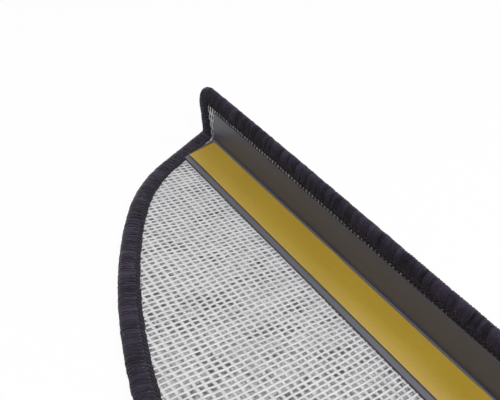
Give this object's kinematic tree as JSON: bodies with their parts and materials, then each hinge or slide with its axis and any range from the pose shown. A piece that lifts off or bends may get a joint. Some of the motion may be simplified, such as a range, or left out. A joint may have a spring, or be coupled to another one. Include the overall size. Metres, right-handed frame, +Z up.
{
  "type": "stair tread mat",
  "caption": "Half-round carpet stair tread mat with a yarn-bound edge, a folded nosing lip, a plastic angle in the fold and a covered strip of adhesive tape on its woven underside.",
  "frame": {"origin": "under the middle of the mat's bounding box, on the plane of the pile face that it lies on", "axes": "the mat lies with its underside up: +X along the nosing lip, +Y from the rounded rear towards the lip, +Z up out of the underside, the way the lip stands"},
  "size_m": [0.6498, 0.1914, 0.0427],
  "materials": {
    "pile": "matt tufted pile",
    "latex": "matt, mottled",
    "backing": "woven polypropylene, slight sheen",
    "binding_yarn": "wrapped yarn",
    "stitching_yarn": "chain of locked yarn",
    "angle_plastic": "satin",
    "tape": "adhesive on both faces",
    "liner": "smooth release paper"
  },
  "bodies": {
    "root": {"carpet_pile": "pile", "latex_coat": "latex", "woven_backing": "backing", "edge_binding": "binding_yarn", "edge_stitching": "stitching_yarn", "angle_profile": "angle_plastic", "adhesive_tape": "tape", "release_liner": "liner"}
  },
  "joints": []
}
